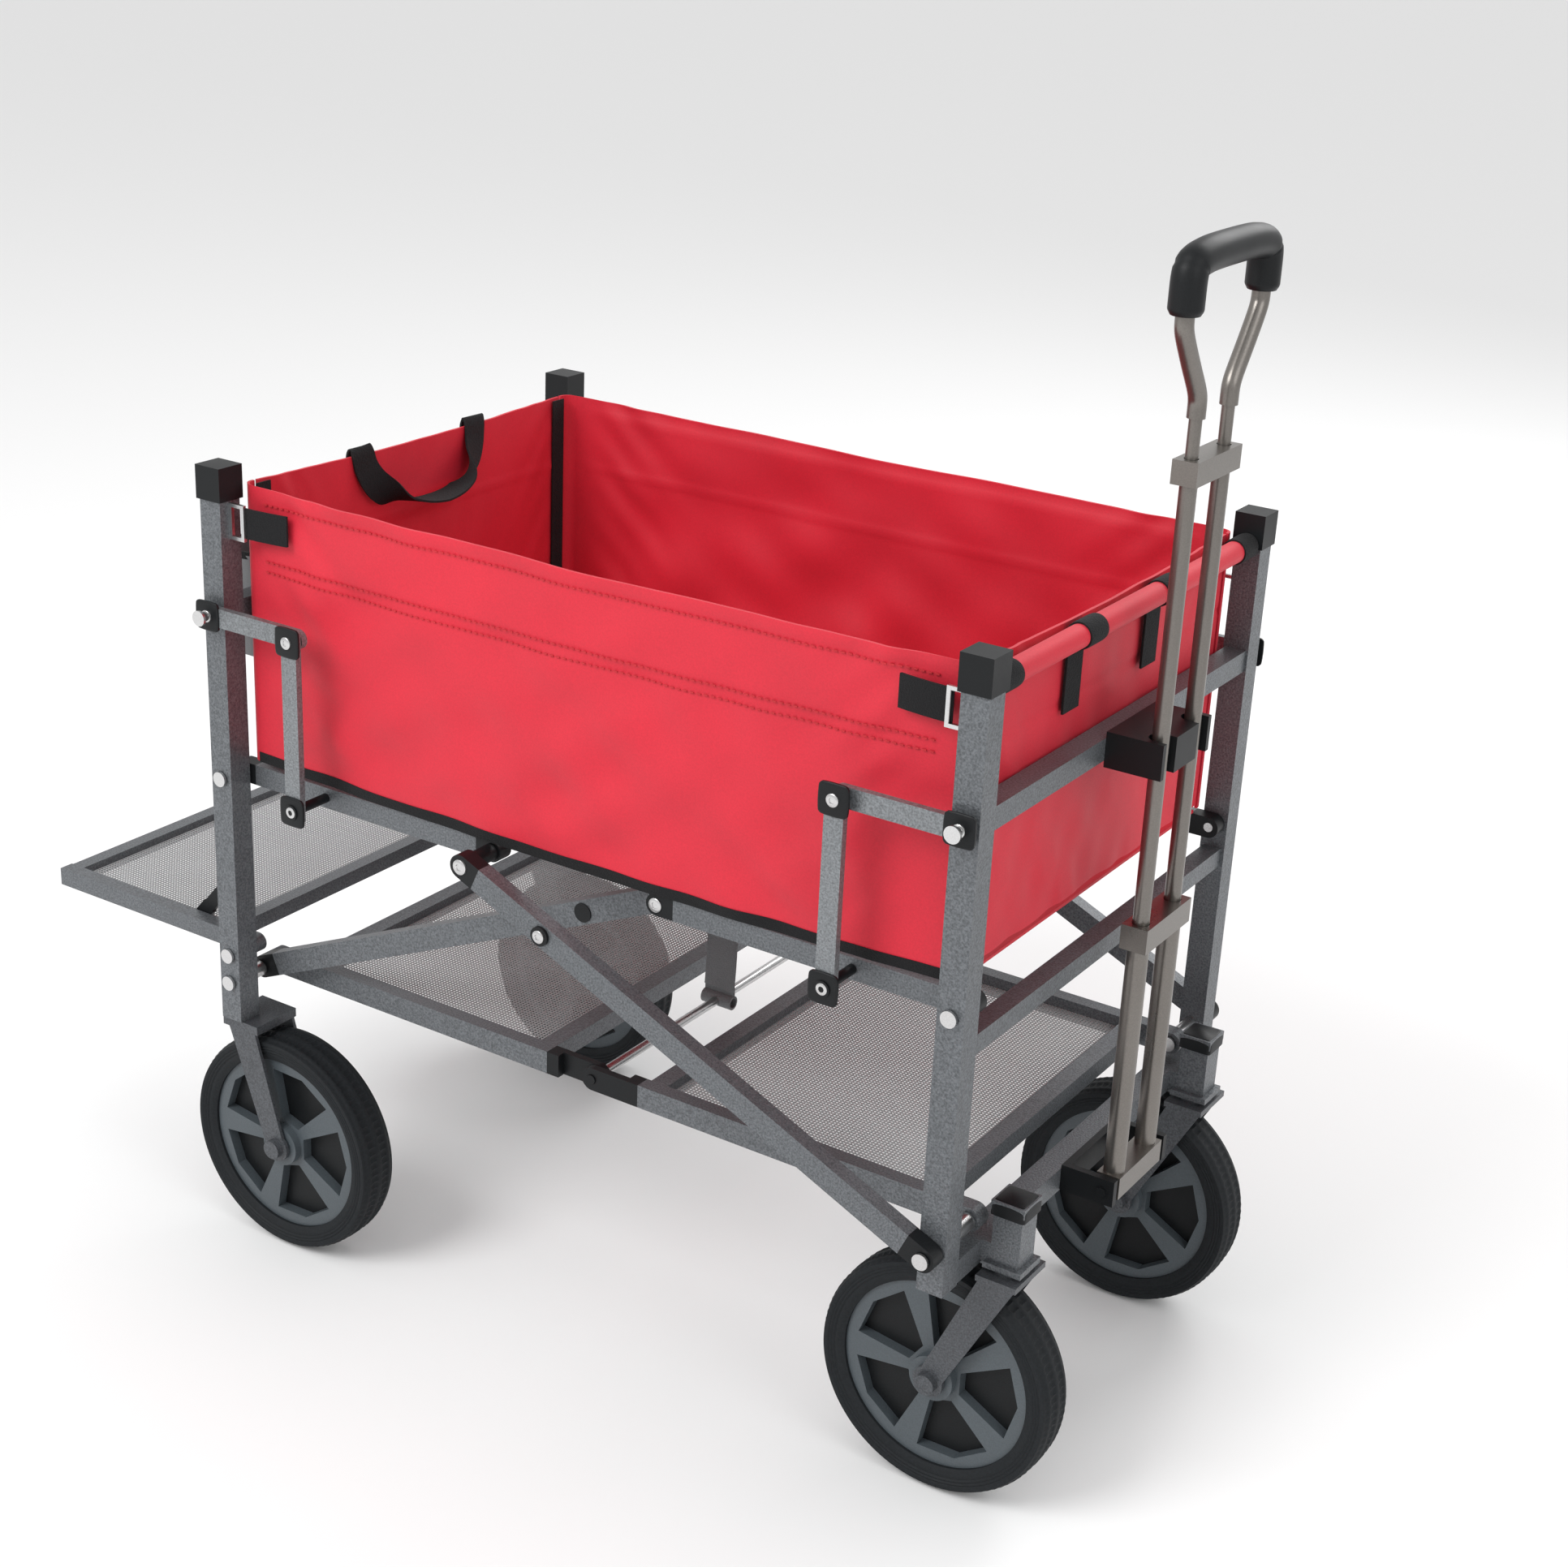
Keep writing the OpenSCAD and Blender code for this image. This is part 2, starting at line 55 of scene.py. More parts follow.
legLo, legHi = boxOf("rear_legs")
frontLo, frontHi = boxOf("front_legs")
rearX = (legLo[0] + legHi[0]) / 2
frontX = (frontLo[0] + frontHi[0]) / 2
midX = (rearX + frontX) / 2


# materials
def newMaterial(name):
    mat = bpy.data.materials.new(name)
    mat.use_nodes = True
    tree = mat.node_tree
    shader = tree.nodes["Principled BSDF"]
    coords = tree.nodes.new("ShaderNodeTexCoord")
    return mat, tree, shader, coords.outputs["Object"]


def noiseNode(tree, coords, scale, detail=3.0, stretch=(1, 1, 1)):
    mapping = tree.nodes.new("ShaderNodeMapping")
    mapping.inputs["Scale"].default_value = stretch
    tree.links.new(coords, mapping.inputs["Vector"])
    noise = tree.nodes.new("ShaderNodeTexNoise")
    noise.inputs["Scale"].default_value = scale
    noise.inputs["Detail"].default_value = detail
    tree.links.new(mapping.outputs["Vector"], noise.inputs["Vector"])
    return noise.outputs["Fac"]


def rampNode(tree, fac, stops):
    ramp = tree.nodes.new("ShaderNodeValToRGB")
    for i, (at, colour) in enumerate(stops):
        stop = ramp.color_ramp.elements[i] if i < 2 else ramp.color_ramp.elements.new(at)
        stop.position = at
        stop.color = (*colour, 1)
    tree.links.new(fac, ramp.inputs["Fac"])
    return ramp.outputs["Color"]


def bumpNode(tree, shader, heights, distance, strength=1.0):
    total = heights[0]
    for other in heights[1:]:
        add = tree.nodes.new("ShaderNodeMath")
        add.operation = "ADD"
        tree.links.new(total, add.inputs[0])
        tree.links.new(other, add.inputs[1])
        total = add.outputs[0]
    bump = tree.nodes.new("ShaderNodeBump")
    bump.inputs["Distance"].default_value = distance
    bump.inputs["Strength"].default_value = strength
    tree.links.new(total, bump.inputs["Height"])
    tree.links.new(bump.outputs["Normal"], shader.inputs["Normal"])


def shade(colour, by):
    # each channel times by, kept from 0 to 1
    return tuple(max(0.0, min(1.0, c * by)) for c in colour)


# paint or plastic: fine speckle and wide patches multiplied, with the speckle as a small bump
def speckled(name, colour, metallic=0.0, rough=0.5, grain=900.0, depth=0.0002, spread=0.25, patch=14.0):
    mat, tree, shader, coords = newMaterial(name)
    fine = noiseNode(tree, coords, grain)
    wide = noiseNode(tree, coords, patch, 4.0)
    mix = tree.nodes.new("ShaderNodeMix")
    mix.data_type = "RGBA"
    mix.blend_type = "MULTIPLY"
    mix.inputs["Factor"].default_value = 0.6
    a = rampNode(tree, fine, ((0.3, shade(colour, 1 - spread)), (0.7, shade(colour, 1 + spread))))
    b = rampNode(tree, wide, ((0.3, (0.82, 0.82, 0.82)), (0.7, (1.0, 1.0, 1.0))))
    tree.links.new(a, mix.inputs["A"])
    tree.links.new(b, mix.inputs["B"])
    tree.links.new(mix.outputs["Result"], shader.inputs["Base Color"])
    roughMap = rampNode(tree, wide, ((0.25, (rough * 0.85,) * 3), (0.75, (min(1, rough * 1.2),) * 3)))
    tree.links.new(roughMap, shader.inputs["Roughness"])
    shader.inputs["Metallic"].default_value = metallic
    bumpNode(tree, shader, [fine], depth)
    return mat


# cloth: crossed fine threads as a bump, wide tone changes and a fine grain in the colour
def woven(name, colour, period=0.0016, depth=0.00025, rough=0.75, sheen=0.25, spread=0.12):
    mat, tree, shader, coords = newMaterial(name)
    threads = [noiseNode(tree, coords, 1.0 / period, 2.0, stretch) for stretch in ((6, 1, 1), (1, 1, 6))]
    wide = noiseNode(tree, coords, 9.0, 4.0)
    fine = noiseNode(tree, coords, 700.0)
    mix = tree.nodes.new("ShaderNodeMix")
    mix.data_type = "RGBA"
    mix.blend_type = "MULTIPLY"
    mix.inputs["Factor"].default_value = 0.7
    a = rampNode(tree, wide, ((0.3, shade(colour, 1 - spread)), (0.7, shade(colour, 1 + spread))))
    b = rampNode(tree, fine, ((0.35, (0.86, 0.86, 0.86)), (0.65, (1.0, 1.0, 1.0))))
    tree.links.new(a, mix.inputs["A"])
    tree.links.new(b, mix.inputs["B"])
    tree.links.new(mix.outputs["Result"], shader.inputs["Base Color"])
    shader.inputs["Roughness"].default_value = rough
    shader.inputs["Sheen Weight"].default_value = sheen
    shader.inputs["Sheen Roughness"].default_value = 0.5
    bumpNode(tree, shader, threads + [fine], depth)
    return mat


finish = {
    "frameMetal": speckled("hammertoneFrame", (0.125, 0.134, 0.144), 0.4, 0.4, 650.0, 0.0004, 0.4),
    "armMetal": speckled("hammertoneArms", (0.20, 0.212, 0.222), 0.5, 0.36, 650.0, 0.0004, 0.35),
    "forkMetal": speckled("forkCoat", (0.075, 0.08, 0.088), 0.35, 0.4, 650.0, 0.0004, 0.35),
    "blackPlastic": speckled("blackPlastic", (0.007, 0.008, 0.009), 0.0, 0.42, 1500.0, 0.00006, 0.25),
    "zinc": speckled("brightZinc", (0.62, 0.62, 0.62), 1.0, 0.28, 1200.0, 0.00003, 0.08),
    "redCloth": woven("redCloth", (0.60, 0.008, 0.028), 0.0012, 0.00006, 0.62, 0.06, 0.08),
    # a darker copy of the red cloth for the floor boards inside the basket: painted shade
    "redShadedInside": woven("redClothShadedInside", (0.52, 0.008, 0.024), 0.0012, 0.00006, 0.65, 0.06, 0.08),
    "blackWebbing": woven("blackWebbing", (0.009, 0.009, 0.010), 0.0022, 0.0005, 0.85, 0.04),
    "greyWebbing": woven("greyWebbing", (0.13, 0.135, 0.14), 0.0022, 0.0005, 0.8, 0.15),
    "stitch": woven("redStitch", (0.50, 0.010, 0.020), 0.001, 0.0001, 0.7, 0.05),
    "paleMesh": speckled("paleMesh", (0.33, 0.34, 0.345), 0.0, 0.7, 1500.0, 0.0001, 0.15),
    "darkMesh": speckled("pocketMesh", (0.14, 0.145, 0.15), 0.0, 0.7, 1500.0, 0.0001, 0.15),
    "tyreRubber": speckled("tyreRubber", (0.011, 0.013, 0.015), 0.0, 0.66, 500.0, 0.00015, 0.2),
    "rimPlastic": speckled("rimPlastic", (0.066, 0.080, 0.090), 0.0, 0.42, 900.0, 0.00008, 0.12),
    "handleTube": speckled("handleTube", (0.20, 0.185, 0.17), 0.85, 0.3, 900.0, 0.00003, 0.08),
}
for key in ("blackPlastic", "blackWebbing", "tyreRubber"):
    finish[key].node_tree.nodes["Principled BSDF"].inputs["Specular IOR Level"].default_value = 0.22
print("materials made:", len(finish))


# making surfaces
def gridFaces(rows, cols, wrapRows=False, wrapCols=False, start=0):
    # corner numbers of each cell of a rows by cols grid
    r = np.arange(rows if wrapRows else rows - 1)[:, None]
    c = np.arange(cols if wrapCols else cols - 1)[None, :]
    r2, c2 = (r + 1) % rows, (c + 1) % cols
    quad = np.stack(np.broadcast_arrays(r * cols + c, r2 * cols + c, r2 * cols + c2, r * cols + c2), -1)
    return quad.reshape(-1, 4) + start


def outward(obj):
    # doubles merged, then every face turned to point out
    import bmesh
    work = bmesh.new()
    work.from_mesh(obj.data)
    bmesh.ops.remove_doubles(work, verts=work.verts, dist=1e-6)
    bmesh.ops.recalc_face_normals(work, faces=work.faces)
    work.to_mesh(obj.data)
    work.free()
    return obj


def shell(points, inward, thick):
    # a sheet given a wall: the front grid, the same grid moved inward, and the rim faces between them
    rows, cols = points.shape[:2]
    back = points + inward * thick
    allPoints = np.concatenate([points.reshape(-1, 3), back.reshape(-1, 3)])
    n = rows * cols
    front = gridFaces(rows, cols)
    rear = gridFaces(rows, cols, start=n)[:, ::-1]
    edge = np.concatenate([
        np.arange(cols), np.arange(1, rows) * cols + cols - 1,
        (rows - 1) * cols + np.arange(cols - 2, -1, -1), np.arange(rows - 2, 0, -1) * cols])
    nxt = np.roll(edge, -1)
    rim = np.stack([edge, edge + n, nxt + n, nxt], -1)
    return allPoints, np.concatenate([front, rear, rim])


def boxes(centres, sizes):
    # many small blocks: eight corners each, offset from its centre by half its sizes
    corner = np.array([[x, y, z] for x in (-1, 1) for y in (-1, 1) for z in (-1, 1)]) * 0.5
    centres = np.asarray(centres, float)
    sizes = np.broadcast_to(np.asarray(sizes, float), centres.shape)
    points = centres[:, None, :] + corner[None] * sizes[:, None, :]
    one = np.array([[0, 1, 3, 2], [4, 6, 7, 5], [0, 4, 5, 1], [2, 3, 7, 6], [0, 2, 6, 4], [1, 5, 7, 3]])
    return points.reshape(-1, 3), (one[None] + 8 * np.arange(len(centres))[:, None, None]).reshape(-1, 4)


def sweep(path, profile, up=(0, 0, 1)):
    # a closed profile (n by 2) carried along a path, on axes square to the path; ends are capped
    path = np.asarray(path, float)
    tangent = np.gradient(path, axis=0)
    tangent /= np.linalg.norm(tangent, axis=1)[:, None]
    side = np.cross(tangent, np.asarray(up, float))
    side /= np.linalg.norm(side, axis=1)[:, None]
    top = np.cross(side, tangent)
    profile = np.asarray(profile, float)
    if profile.ndim == 2:
        profile = np.broadcast_to(profile, (len(path),) + profile.shape)
    points = path[:, None] + side[:, None] * profile[..., :1] + top[:, None] * profile[..., 1:]
    rows, cols = points.shape[:2]
    faces = gridFaces(rows, cols, wrapCols=True).tolist()
    faces.append(list(range(cols)))
    faces.append([(rows - 1) * cols + i for i in range(cols)][::-1])
    return points.reshape(-1, 3), faces


def ribbon(path, across, wide, thick):
    # a flat strap along a path: its width lies along across, made square to the path
    path = np.asarray(path, float)
    tangent = np.gradient(path, axis=0)
    tangent /= np.linalg.norm(tangent, axis=1)[:, None]
    across = np.broadcast_to(np.asarray(across, float), path.shape)
    across = across - (across * tangent).sum(1)[:, None] * tangent
    across = across / np.linalg.norm(across, axis=1)[:, None]
    face = np.cross(tangent, across)
    corners = np.array([[-1, -1], [1, -1], [1, 1], [-1, 1]]) / 2
    points = path[:, None] + across[:, None] * corners[:, :1] * wide + face[:, None] * corners[:, 1:] * thick
    faces = gridFaces(len(path), 4, wrapCols=True).tolist()
    last = (len(path) - 1) * 4
    return points.reshape(-1, 3), faces + [[0, 1, 2, 3], [last + 3, last + 2, last + 1, last]]


def ringProfile(r, n=20, flat=1.0):
    # a circle, or an ellipse where flat isn't 1: r cos t across, r flat sin t up
    t = np.linspace(0, 2 * np.pi, n, endpoint=False)
    return np.stack([r * np.cos(t), r * flat * np.sin(t)], -1)


def make(name, made, material, body, smooth=True):
    mesh = bpy.data.meshes.new(name)
    mesh.from_pydata(np.asarray(made[0]).tolist(), [], [list(map(int, f)) for f in made[1]])
    mesh.materials.append(finish[material])
    mesh.polygons.foreach_set("use_smooth", np.full(len(mesh.polygons), smooth))
    obj = bpy.data.objects.new(name, mesh)
    bpy.context.scene.collection.objects.link(obj)
    outward(obj)
    if smooth:
        obj.data.set_sharp_from_angle(angle=math.radians(40))
    if body:
        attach(obj, body)
    return obj


def merge(*parts):
    # several points-and-faces pairs as one, with the later faces' numbers moved on
    points, faces, start = [], [], 0
    for p, f in parts:
        p = np.asarray(p).reshape(-1, 3)
        points.append(p)
        faces += [[int(i) + start for i in face] for face in f]
        start += len(p)
    return np.concatenate(points), faces


# finishes on the carried-over parts
paint = {
    "rear_legs": "frameMetal", "front_legs": "frameMetal", "rear_crossbar": "frameMetal",
    "front_crossbars": "frameMetal", "deck_rear_frame": "frameMetal", "deck_front_frame": "frameMetal",
    "brace_rear_tubes": "frameMetal", "brace_front_tubes": "frameMetal", "base_rear_frame": "frameMetal",
    "base_front_frame": "frameMetal", "platform_frame": "frameMetal", "arms_rear": "armMetal",
    "arms_front": "armMetal", "links_rear": "armMetal", "links_front": "armMetal",
    "rear_forks": "forkMetal", "caster_right": "forkMetal", "caster_left": "forkMetal",
    "rear_caps": "blackPlastic", "front_caps": "blackPlastic", "front_top_bar": "redCloth",
    "caster_posts": "frameMetal", "handle_bracket": "blackPlastic", "handle_clip": "blackPlastic",
    "deck_hinges_rear": "blackPlastic", "deck_hinges_front": "blackPlastic",
    "brace_rear_joints": "blackPlastic", "brace_front_joints": "blackPlastic",
    "base_rear_joints": "blackPlastic", "base_front_joints": "blackPlastic", "stays": "blackPlastic",
    "rear_pins": "zinc", "front_pins": "zinc", "rear_rings": "zinc", "front_rings": "zinc",
    "handle_lower": "handleTube", "handle_middle": "handleTube",
    "rim_rear_right": "rimPlastic", "rim_rear_left": "rimPlastic",
    "rim_front_right": "rimPlastic", "rim_front_left": "rimPlastic",
}
for name, key in paint.items():
    obj = nodes[name]
    obj.data.materials.clear()
    obj.data.materials.append(finish[key])
print("carried-over parts painted:", len(paint))

# basket sides: one sheet each, round both corners, with soft folds
basket = {
    "bulge": 0.007, "fold": 0.0022, "sag": 0.008, "thick": 0.0025, "hem": 0.0045, "corner": 0.010,
    "seam": 0.27, "seamDeep": 0.0012, "seamWide": 0.012, "cols": 240, "rows": 56,
}


def foldField(u, v, seed):
    # sum of soft waves, stronger near the bottom and the ends, where the cloth is pulled
    draw = np.random.default_rng(seed)
    total = np.zeros_like(u)
    for i in range(9):
        fu, fv = draw.uniform(2, 11), draw.uniform(-4, 4)
        total += np.sin(2 * np.pi * (fu * u + fv * v + draw.uniform())) / (1 + 0.35 * fu)
    pull = np.exp(-((u - 0.04) / 0.1) ** 2) + np.exp(-((u - 0.96) / 0.1) ** 2)
    rays = np.sin(2 * np.pi * (6 * v + 14 * np.minimum(u, 1 - u))) * pull
    return total * (0.45 + 0.75 * (1 - v)) + 0.8 * rays * (0.4 + 0.6 * v)


def basketSide(sign):
    # plan line round both corners by height; pushed out by a bulge, soft waves, a seam groove and a hem,
    # and lowered a little in the middle of its length
    name = "basket_side_right" if sign < 0 else "basket_side_left"
    lo, hi = boxOf(name)
    wallY = hi[1] if sign > 0 else -lo[1]  # distance from the middle
    flap = min(abs(lo[1]), abs(hi[1])) + 0.0004
    reach = hi[0] - lo[0]
    corner = basket["corner"]
    u = np.linspace(0, 1, basket["cols"])[None, :]
    v = np.linspace(0, 1, basket["rows"])[:, None]
    uu, vv = np.broadcast_arrays(u, v)
    # plan path: in from the flap, round the corner, along the side, and back
    run = np.array([0, wallY - flap - corner, wallY - flap - corner + corner * np.pi / 2])
    total = 2 * run[2] + reach - 2 * corner
    s = uu * total
    along = np.minimum(s, total - s)
    t = np.clip((along - run[1]) / (corner * np.pi / 2), 0, 1) * np.pi / 2
    x = np.where(along < run[1], 0, corner * (1 - np.cos(t))) + np.maximum(along - run[2], 0)
    x = np.where(s <= total / 2, lo[0] + x, hi[0] - x)
    y = np.where(along < run[1], flap + along, flap + run[1] + corner * np.sin(t))
    inside = np.clip((along - run[2]) / 0.06, 0, 1)
    side = np.clip((x - lo[0]) / reach, 0, 1)
    out = basket["bulge"] * np.sin(np.pi * side) ** 0.6 * np.sin(np.pi * (0.12 + 0.8 * vv)) ** 0.8
    held = np.clip(0.25 + vv * 6, 0, 1)  # the bottom edge is held nearly straight
    crease = basket["fold"] * foldField(side, vv, 5 if sign < 0 else 8) * inside * held
    seamLine = -basket["seamDeep"] * np.exp(-((vv - (1 - basket["seam"])) / basket["seamWide"]) ** 2)
    hem = basket["hem"] * np.clip((vv - 0.955) / 0.02, 0, 1) * inside
    y = y + (out + crease + seamLine) * inside + hem * 0.6
    z = lo[2] + vv * (hi[2] - lo[2]) - basket["sag"] * np.sin(np.pi * side) * (1 - vv) * 0.6
    rimWave = 0.0007 * np.sin(2 * np.pi * side * 3.0 + 1) * vv ** 6 * inside
    z = z + rimWave - 0.003 * np.sin(np.pi * side) * vv ** 4
    points = np.stack([x, sign * y, z], -1)
    inward = np.stack([np.zeros_like(y), -sign * np.ones_like(y) * inside, np.zeros_like(z)], -1)
    turn = np.where(s <= total / 2, 1, -1) * (1 - inside)
    inward = inward + np.stack([turn, np.zeros_like(y), np.zeros_like(z)], -1)
    made = shell(points, inward, basket["thick"])
    obj = make(name + "_cloth", made, "redCloth", "rear_frame")
    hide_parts(name)
    return obj, points, lo, hi


def stitches(points, row, name, step=2, lift=0.0012, sign=-1):
    # short dashes sitting on one row of a sheet's grid
    line = points[row, 12:-12:step]
    centres = line + np.array([0, sign * lift, 0])
    made = boxes(centres, (0.0036, 0.0009, 0.0011))
    return make(name, made, "stitch", "rear_frame", smooth=False)


# basket sides, with their stitch rows and black bottom edges, each given its own mesh data
squashed = []
for sign in (-1, 1):
    obj, points, lo, hi = basketSide(sign)
    tag = "right" if sign < 0 else "left"
    seamRow = int((1 - basket["seam"]) * basket["rows"])
    squashed.append(obj)
    squashed.append(stitches(points, seamRow + 1, "seam_upper_" + tag, sign=sign))
    squashed.append(stitches(points, seamRow - 1, "seam_lower_" + tag, sign=sign))
    squashed.append(stitches(points, basket["rows"] - 4, "seam_hem_" + tag, sign=sign))
    lower = points[0:3, 6:-6] + np.array([0, sign * 0.0007, 0])
    inward = np.broadcast_to(np.array([0, -sign * 1.0, 0]), lower.shape)
    made = shell(lower, inward, 0.0036)
    squashed.append(make("basket_edge_" + tag, made, "blackWebbing", "rear_frame"))
for obj in squashed:
    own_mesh(obj)
print("basket sides made")


# end panels: a sheet between the corners, bowed a little outward, with soft folds
def endPanel(name, body, outSign, seed):
    lo, hi = boxOf(name)
    u = np.linspace(0, 1, 120)[None, :]
    v = np.linspace(0, 1, 56)[:, None]
    uu, vv = np.broadcast_arrays(u, v)
    y = lo[1] + uu * (hi[1] - lo[1])
    z = lo[2] + vv * (hi[2] - lo[2]) - 0.004 * np.sin(np.pi * uu) * vv ** 4
    edge = np.clip(np.minimum(uu, 1 - uu) / 0.08, 0, 1)
    wave = 0.0010 * foldField(uu, vv, seed) * edge
    seamLine = -0.001 * np.exp(-((vv - (1 - basket["seam"])) / basket["seamWide"]) ** 2)
    face = hi[0] if outSign > 0 else lo[0]
    x = face - outSign * 0.0004 + outSign * (np.clip(wave, -0.004, 0.0008) + seamLine)
    points = np.stack([x, y, z], -1)
    inward = np.broadcast_to(np.array([-outSign, 0, 0.0]), points.shape)
    obj = make(name + "_cloth", shell(points, inward, basket["thick"]), "redCloth", body)
    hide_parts(name)
    return points


endPanel("rear_end_panel", "rear_frame", -1, 3)
endPanel("front_end_panel", "front_frame", 1, 4)

# black binding down the four inner corners
binding = {"wide": 0.016, "thick": 0.0012}
for body, name, inSign in (("rear_frame", "rear_end_panel", 1), ("front_frame", "front_end_panel", -1)):
    lo, hi = boxOf(name)
    x = (hi[0] if inSign > 0 else lo[0]) + inSign * 0.0022
    parts = []
    for s in (-1, 1):
        y = s * (hi[1] - 0.004)
        size = (binding["thick"], binding["wide"], hi[2] - lo[2] - 0.004)
        parts.append(boxes([[x, y, (lo[2] + hi[2]) / 2]], size))
    make(name + "_binding", merge(*parts), "blackWebbing", body, smooth=False)
print("end panels made")


# floor boards: crowned cloth-covered boards, each on its folding base frame, in a darker copy of the red
# cloth that is painted shade inside the basket
def floorBoard(name, body):
    lo, hi = boxOf(name)
    u = np.linspace(-1, 1, 70)[:, None]
    v = np.linspace(-1, 1, 70)[None, :]
    uu, vv = np.broadcast_arrays(u, v)
    x = (lo[0] + hi[0]) / 2 + uu * (hi[0] - lo[0]) / 2 * 0.998
    y = (lo[1] + hi[1]) / 2 + vv * (hi[1] - lo[1]) / 2 * 0.998
    roll = (1 - np.abs(uu) ** 10) * (1 - np.abs(vv) ** 10)
    dimple = 0.0006 * foldField((uu + 1) / 2, (vv + 1) / 2, 21)
    z = hi[2] - 0.0012 + (0.0014 + dimple) * roll
    points = np.stack([x, y, z], -1)
    inward = np.broadcast_to(np.array([0, 0, -1.0]), points.shape)
    # the darker red is painted shade on the floor inside the basket
    obj = make(name + "_cloth", shell(points, inward, 0.0026), "redShadedInside", body)
    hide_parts(name)


floorBoard("floor_rear", "base_rear")
floorBoard("floor_front", "base_front")
print("floor boards made")


# open mesh panels: two sets of thin crossing ribbons
def meshPanel(name, body, pitch=0.0032, wide=0.0012, key="paleMesh"):
    lo, hi = boxOf(name)
    z = (lo[2] + hi[2]) / 2
    xs = np.arange(lo[0] + pitch / 2, hi[0], pitch)
    ys = np.arange(lo[1] + pitch / 2, hi[1], pitch)
    across = np.stack([xs, np.full_like(xs, (lo[1] + hi[1]) / 2), np.full_like(xs, z + 0.0002)], -1)
    along = np.stack([np.full_like(ys, (lo[0] + hi[0]) / 2), ys, np.full_like(ys, z - 0.0002)], -1)
    made = merge(boxes(across, (wide, hi[1] - lo[1], 0.0005)), boxes(along, (hi[0] - lo[0], wide, 0.0005)))
    obj = make(name + "_ribbons", made, key, body, smooth=False)
    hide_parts(name)
    return obj


meshPanel("deck_rear_mesh", "deck_rear")
meshPanel("deck_front_mesh", "deck_front")
meshPanel("platform_mesh", "platform")
print("mesh panels made")


# tyres: profile round the axle, with a raised diamond tread and three sidewall grooves
tyre = {"around": 288, "profile": 60, "treadDeep": 0.0016, "lugs": 48, "bead": 0.79, "shoulder": 0.55}


def makeTyre(name, body):
    # radius by place across the tyre: a shallow crown inside the shoulders, a curved wall down to the bead
    # outside them; two crossed waves round it, sharpened, raise the tread
    lo, hi = boxOf(name)
    centre = (lo + hi) / 2
    r = (hi[2] - lo[2]) / 2
    half = (hi[1] - lo[1]) / 2
    p = np.linspace(0, 1, tyre["profile"])
    # a runs from -1 at the inner bead to 1 at the outer one
    a = (p - 0.5) * 2
    bead = r * tyre["bead"]
    shoulder = tyre["shoulder"]
    isWall = np.abs(a) > shoulder
    wallShare = np.clip((np.abs(a) - shoulder) / 0.45, 0, 1)
    wallRadius = bead + (r - 0.004 - bead) * (1 - wallShare ** 1.2)
    crownRadius = r - 0.0016 - 0.0026 * (np.abs(a) / shoulder) ** 3
    radius = np.where(isWall, wallRadius, crownRadius)
    wallWidth = half - 0.0005 - 0.004 * wallShare ** 3
    crownWidth = half * (np.abs(a) / shoulder) ** 0.9 * 0.985
    width = np.where(isWall, wallWidth, crownWidth) * np.sign(a)
    th = np.linspace(0, 2 * np.pi, tyre["around"], endpoint=False)[:, None]
    aa = np.broadcast_to(a[None], (tyre["around"], tyre["profile"]))
    flat = np.clip(1 - (np.abs(aa) / 0.5) ** 8, 0, 1)
    lug = np.cos(tyre["lugs"] * th + 9 * aa) * np.cos(tyre["lugs"] * th - 9 * aa)
    tread = tyre["treadDeep"] * (1 / (1 + np.exp(-9 * lug)) - 0.5) * flat
    rows = radius[None] + tread
    groove = sum(np.exp(-((radius - r * g) / 0.0007) ** 2) for g in (0.865, 0.89, 0.915)) * isWall
    wide = width[None] - np.sign(a)[None] * 0.0008 * groove[None] + 0 * th
    points = np.stack([centre[0] + rows * np.cos(th), centre[1] + wide, centre[2] + rows * np.sin(th)], -1)
    faces = gridFaces(tyre["around"], tyre["profile"], wrapRows=True, wrapCols=True)
    obj = make(name + "_tread", (points.reshape(-1, 3), faces), "tyreRubber", body)
    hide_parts(name)


def wheelPocketShade(name, spot):
    # thin black ring at the wheel's middle, at the bottom of the pockets between the spokes: painted shade,
    # a dark sheet standing in for the shadow in the rim's pockets
    lo, hi = boxOf(name)
    c = (lo + hi) / 2
    r = (hi[2] - lo[2]) / 2
    t = np.linspace(0, 2 * np.pi, 96, endpoint=False)[:, None]
    ringR = np.array([0.26, 0.95, 0.95, 0.26]) * r
    ringY = np.array([-0.0026, -0.0026, 0.0026, 0.0026])
    points = np.stack([c[0] + ringR * np.cos(t), c[1] + ringY + 0 * t, c[2] + ringR * np.sin(t)], -1)
    faces = gridFaces(96, 4, wrapRows=True, wrapCols=True)
    made = (points.reshape(-1, 3), faces)
    # the black ring is painted shade for the rim's pockets
    make(name + "_pocket_shade", made, "blackPlastic", "spin_" + spot, smooth=False)


for spot in ("rear_right", "rear_left", "front_right", "front_left"):
    makeTyre("tyre_" + spot, "spin_" + spot)
    # each rim gets a black ring of painted shade at the bottom of its pockets
    wheelPocketShade("rim_" + spot, spot)
print("tyres made")

